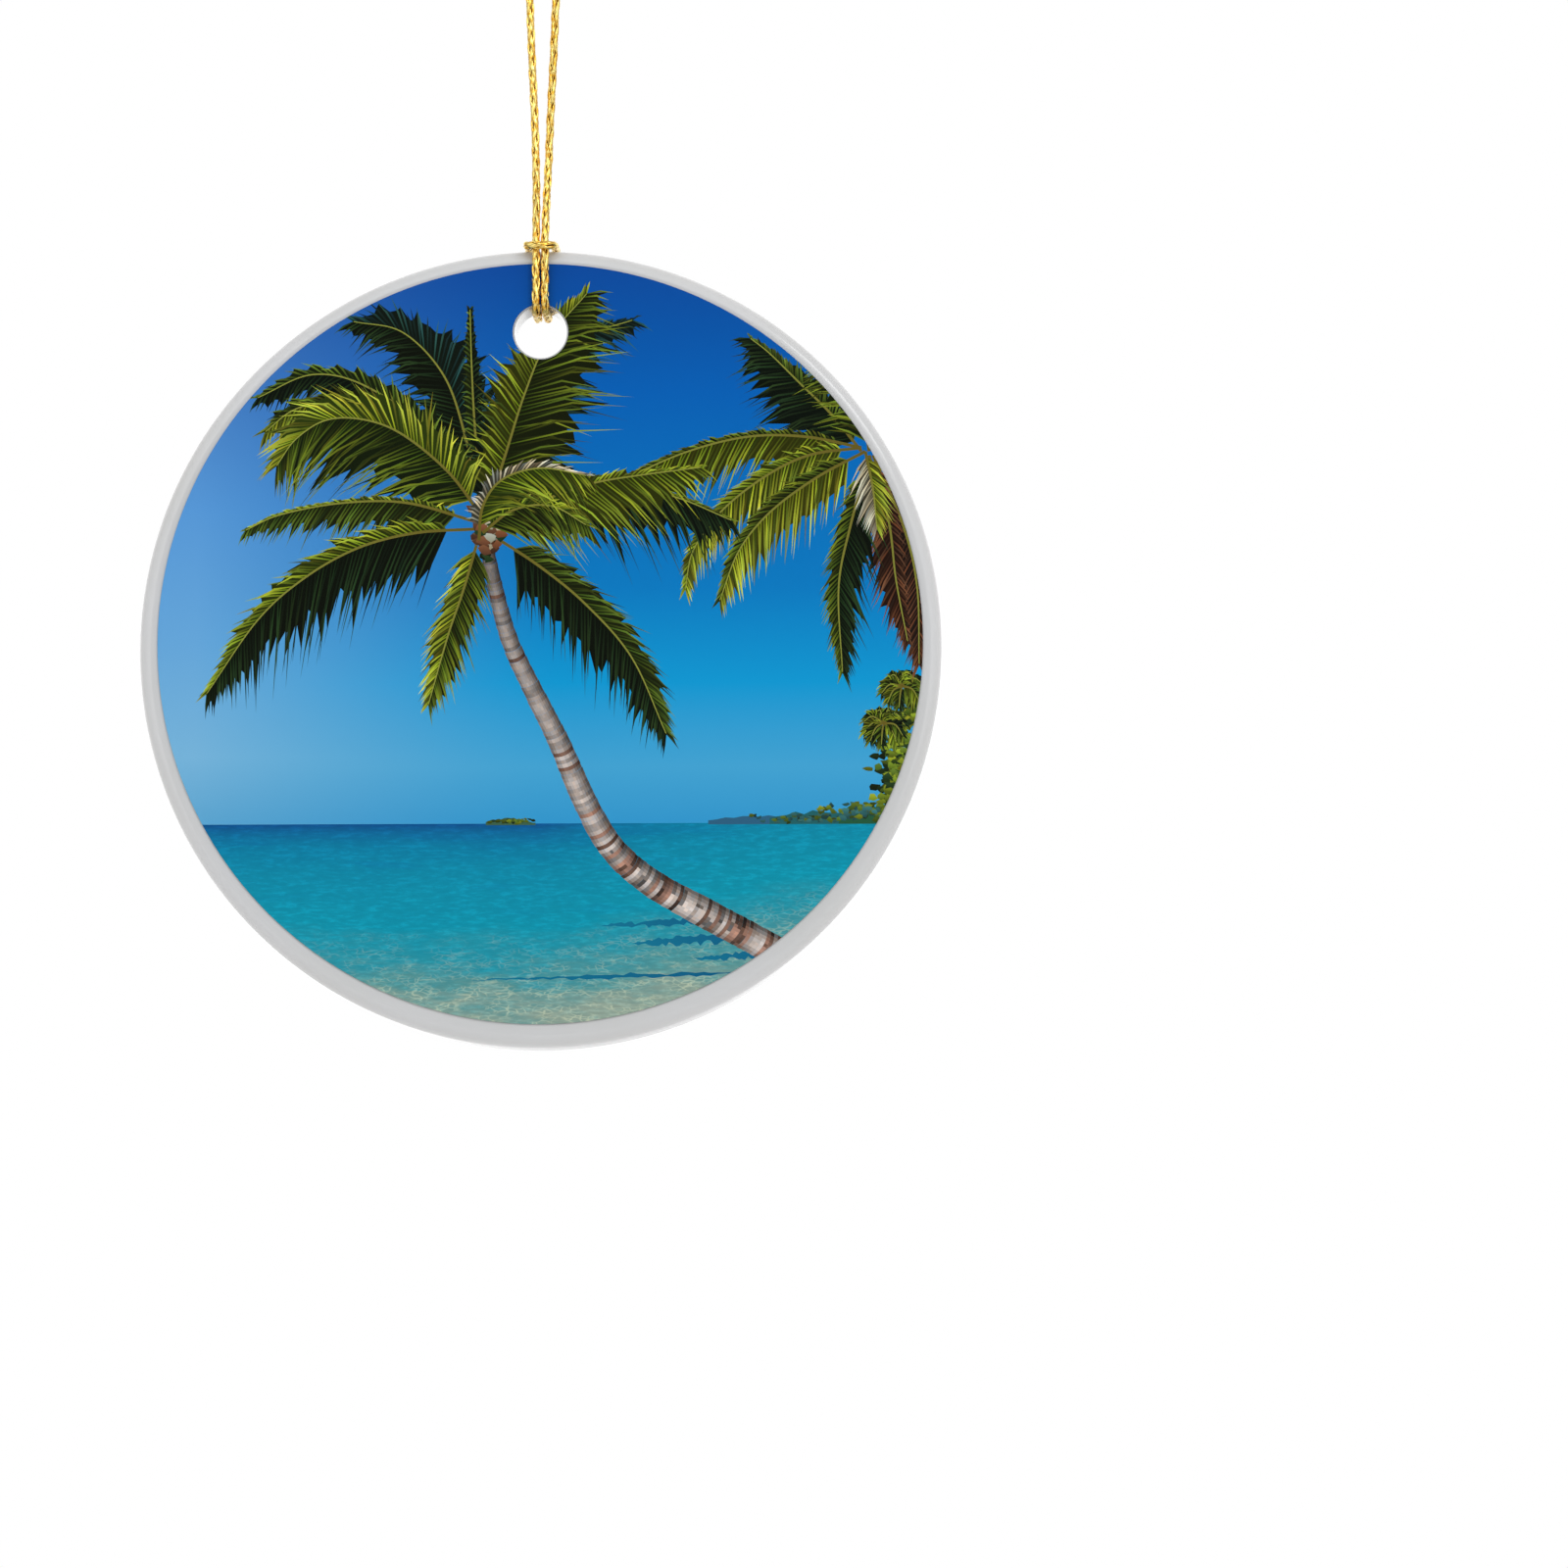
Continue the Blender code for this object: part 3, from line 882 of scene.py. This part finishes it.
def picture_mesh(picture):
    """The picture as one flat sheet, each face with its shape's ink."""
    points, shown = only_what_shows(*topmost(picture))
    mesh = bpy.data.meshes.new("print_picture")
    used = sorted({v for face, _ in shown for v in face})
    place = {v: i for i, v in enumerate(used)}
    flat = [points[v] * PRINT_RADIUS for v in used]
    corners = [(p.x, PRINT_LOW.y, PRINT_CENTRE.z + p.y) for p in flat]
    mesh.from_pydata(corners, [], [[place[v] for v in face] for face, _ in shown])
    inks = mesh.color_attributes.new("ink", "FLOAT_COLOR", "CORNER")
    colours = []
    for face, top in shown:
        low, high, base, tip = picture.inks[top]
        if low is None:
            colours.extend([(0, 0, 0, 0)] * len(face))
            continue
        low, high = ink(low), ink(high)
        axis = tip - base
        for v in face:
            t = min(1, max(0, (points[v] - base).dot(axis) / max(axis.length_squared, 1e-9)))
            colours.append(tuple(a + (b - a) * t for a, b in zip(low, high)))
    inks.data.foreach_set("color", np.array(colours, np.float32).ravel())
    return mesh


def print_material():
    """Sky and sea by formula, with the drawn shapes' inks over them."""
    material, tree, shader = new_material(
        "printed_picture", Roughness=0.20, Specular_IOR_Level=0.12)
    place = node(tree, "TexCoord").outputs["Object"]
    axes = node(tree, "SeparateXYZ")
    tree.links.new(place, axes.inputs[0])
    across = math_node(tree, "DIVIDE", axes.outputs["X"], PRINT_RADIUS)
    rise = math_node(tree, "SUBTRACT", axes.outputs["Z"], PRINT_CENTRE.z)
    up = math_node(tree, "DIVIDE", rise, PRINT_RADIUS)

    # Sky: deep blue above and paler low down; paler to the left partly as the sky's own haze and partly
    # as a painted reflection of the studio light on the gloss
    height = math_node(tree, "DIVIDE", math_node(tree, "SUBTRACT", up, HORIZON), 1 - HORIZON)
    sky = ramp(tree, height, (
        (0.0, (48, 146, 199)), (0.10, (64, 158, 205)), (0.25, (12, 147, 204)), (0.42, (6, 118, 187)),
        (0.77, (2, 92, 175)), (0.88, (4, 82, 163)), (1.0, (8, 70, 152))))
    # Painted reflection on the left, mixed with the sky's own paler haze there.
    left = math_node(tree, "DIVIDE", math_node(tree, "SUBTRACT", 0.05, across), 0.95)
    left_haze_and_reflection = math_node(tree, "POWER", math_node(tree, "MAXIMUM", left, 0.0), 1.6)
    haze_and_painted_reflection = ramp(tree, height, ((0.0, (88, 160, 203)), (0.12, (114, 175, 213)), (0.32, (98, 162, 213)),
                               (0.56, (84, 148, 210)), (0.85, (60, 112, 182)), (1.0, (40, 88, 168))))
    sky = mix(tree, left_haze_and_reflection, sky, haze_and_painted_reflection)

    # Sea: deep at the horizon, then turquoise, then clear shallows over pale sand
    depth = math_node(tree, "DIVIDE", math_node(tree, "SUBTRACT", HORIZON, up), 1 + HORIZON)
    wide = node(tree, "Mapping")
    wide.inputs["Scale"].default_value = (1.0, 1.0, 4.5)
    tree.links.new(place, wide.inputs["Vector"])
    swell = noise(tree, wide.outputs[0], 170.0, 4.0, 0.6)
    drift = math_node(tree, "MULTIPLY", math_node(tree, "SUBTRACT", swell, 0.5), 0.55)
    shore = math_node(tree, "MULTIPLY", math_node(tree, "MAXIMUM", across, 0.0), 0.34)
    drifted = math_node(tree, "ADD", depth, math_node(tree, "MULTIPLY", drift, depth))
    at = math_node(tree, "ADD", drifted, shore)
    sea = ramp(tree, at, (
        (0.0, (14, 84, 148)), (0.05, (14, 112, 162)), (0.12, (12, 132, 171)), (0.25, (14, 144, 176)),
        (0.5, (14, 154, 180)), (0.66, (42, 154, 172)), (0.82, (88, 156, 158)), (1.0, (150, 172, 158))))
    ripples = noise(tree, wide.outputs[0], 900.0, 3.0, 0.65)
    ripple_light = ramp(tree, ripples, (
        (0.38, (92, 92, 92)), (0.52, (128, 128, 128)), (0.66, (190, 190, 190))))
    sea = mix(tree, 0.3, sea, ripple_light, "OVERLAY")
    cells = node(tree, "TexVoronoi", feature="DISTANCE_TO_EDGE", Scale=1150.0)
    bent = node(tree, "Mapping")
    bent.inputs["Scale"].default_value = (1.0, 1.0, 2.6)
    tree.links.new(place, bent.inputs["Vector"])
    warp = node(tree, "TexNoise", Scale=500.0, Detail=2.0)
    tree.links.new(bent.outputs[0], warp.inputs["Vector"])
    warped = mix(tree, 0.0016, bent.outputs[0], warp.outputs["Color"], "ADD")
    tree.links.new(warped, cells.inputs["Vector"])
    lines = ramp(tree, cells.outputs["Distance"], (
        (0.0, (255, 255, 255)), (0.12, (70, 70, 70)), (0.3, (0, 0, 0))))
    shallow = ramp(tree, at, ((0.55, (0, 0, 0)), (0.95, (200, 200, 200))))
    patches = ramp(tree, noise(tree, bent.outputs[0], 420.0, 3.0), (
        (0.42, (0, 0, 0)), (0.62, (255, 255, 255))))
    net = math_node(tree, "MULTIPLY", math_node(tree, "MULTIPLY", lines, shallow), patches)
    sea = mix(tree, math_node(tree, "MULTIPLY", net, 0.75), sea, ink((226, 232, 196)))
    long = node(tree, "Mapping")
    long.inputs["Scale"].default_value = (1.0, 1.0, 9.0)
    tree.links.new(place, long.inputs["Vector"])
    deep_water = ramp(tree, noise(tree, long.outputs[0], 75.0, 3.0), (
        (0.58, (0, 0, 0)), (0.72, (255, 255, 255))))
    far_out = ramp(tree, depth, (
        (0.0, (0, 0, 0)), (0.05, (150, 150, 150)), (0.4, (90, 90, 90)), (0.7, (0, 0, 0))))
    sea = mix(tree, math_node(tree, "MULTIPLY", deep_water, far_out), sea, ink((10, 96, 156)))
    under = math_node(tree, "GREATER_THAN", depth, 0.0)
    ground = mix(tree, under, sky, sea)

    drawn = node(tree, "Attribute", attribute_name="ink")
    colour = mix(tree, drawn.outputs["Alpha"], ground, drawn.outputs["Color"])
    tree.links.new(colour, shader.inputs["Base Color"])
    bump(tree, shader, noise(tree, place, 900.0, 1.0), 0.03, 0.01 * MM)
    return material


def make_print():
    mesh = picture_mesh(draw_picture())
    mesh.materials.append(print_material())
    form = bmesh.new()
    form.from_mesh(mesh)
    rim = [edge for edge in form.edges if edge.is_boundary]
    made = bmesh.ops.extrude_edge_only(form, edges=rim)["geom"]
    for vertex in (g for g in made if isinstance(g, bmesh.types.BMVert)):
        vertex.co.y += PRINT_EDGE
    bmesh.ops.recalc_face_normals(form, faces=form.faces)
    form.to_mesh(mesh)
    form.free()
    piece = bpy.data.objects.new("print_picture", mesh)
    bpy.context.scene.collection.objects.link(piece)
    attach(piece, "ornament")
    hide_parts("printed_coating")
    print("picture faces", len(mesh.polygons), flush=True)


# ---------------------------------------------------------------- studio

WORLD_SIDES = 0.52  # the light from every side, and what the front and the back add to it
WORLD_FRONT = 1.75
WORLD_BACK = 0.95
DARK_CONE = -0.93  # past this much of -Y lies the unlit room behind the camera
DARK_LEVEL = 0.12
KEY_PLACE = (0.45, -0.7, 0.45)
KEY_SIZE = 0.3
KEY_POWER = 1.0
FLOOR_Z = -0.36
FLOOR_SIZE = 6


def area_light(name, location, target, size, power):
    data = bpy.data.lights.new(name, "AREA")
    data.shape = "DISK"
    data.size = size
    data.energy = power
    light = bpy.data.objects.new(name, data)
    light.location = location
    light.rotation_euler = (Vector(target) - Vector(location)).to_track_quat("-Z", "Y").to_euler()
    bpy.context.scene.collection.objects.link(light)


def studio_world():
    """White to the eye. Its light is strongest from the front, then the back, then the sides."""
    world = bpy.data.worlds.new("studio")
    world.use_nodes = True
    tree = world.node_tree
    lit = tree.nodes["Background"]
    axes = node(tree, "SeparateXYZ")
    tree.links.new(node(tree, "TexCoord").outputs["Generated"], axes.inputs[0])
    square = math_node(tree, "POWER", math_node(tree, "ABSOLUTE", axes.outputs["Y"]), 2.0)
    behind = math_node(tree, "GREATER_THAN", axes.outputs["Y"], 0.0)
    change = math_node(tree, "MULTIPLY", behind, WORLD_BACK - WORLD_FRONT)
    extra = math_node(tree, "ADD", change, WORLD_FRONT)
    level = math_node(tree, "ADD", math_node(tree, "MULTIPLY", square, extra), WORLD_SIDES)
    lit_part = math_node(tree, "GREATER_THAN", axes.outputs["Y"], DARK_CONE)
    level = math_node(tree, "MULTIPLY", level, math_node(tree, "MAXIMUM", lit_part, DARK_LEVEL))
    tree.links.new(level, lit.inputs["Strength"])
    lit.inputs["Color"].default_value = (1, 1, 1, 1)
    white = node(tree, "Background")
    white.inputs["Color"].default_value = (1, 1, 1, 1)
    white.inputs["Strength"].default_value = 1.0
    both = node(tree, "MixShader")
    tree.links.new(node(tree, "LightPath").outputs["Is Camera Ray"], both.inputs[0])
    tree.links.new(lit.outputs[0], both.inputs[1])
    tree.links.new(white.outputs[0], both.inputs[2])
    tree.links.new(both.outputs[0], tree.nodes["World Output"].inputs["Surface"])
    bpy.context.scene.world = world


def make_studio():
    bpy.context.scene.view_settings.view_transform = "Standard"
    studio_world()
    bpy.ops.mesh.primitive_plane_add(size=FLOOR_SIZE, location=(0, 0, FLOOR_Z))
    floor = bpy.context.object
    floor.name = "floor"
    pale, _, _ = new_material("floor", Base_Color=(0.88, 0.88, 0.88, 1), Roughness=0.7)
    floor.data.materials.append(pale)
    area_light("key", KEY_PLACE, DISC_CENTRE, KEY_SIZE, KEY_POWER)


def main():
    make_camera()
    gold = gold_material("gold_thread", (232, 176, 62), (255, 230, 138))
    # The core's dark brown gold is painted shade: it shows in the gaps between the yarns.
    core_in_painted_shade = gold_material("gold_core_painted_shade", (70, 40, 6), (120, 76, 16))
    make_cords(gold, core_in_painted_shade, make_knot(gold, core_in_painted_shade))
    make_disc(glaze_material())
    make_print()
    make_studio()


main()
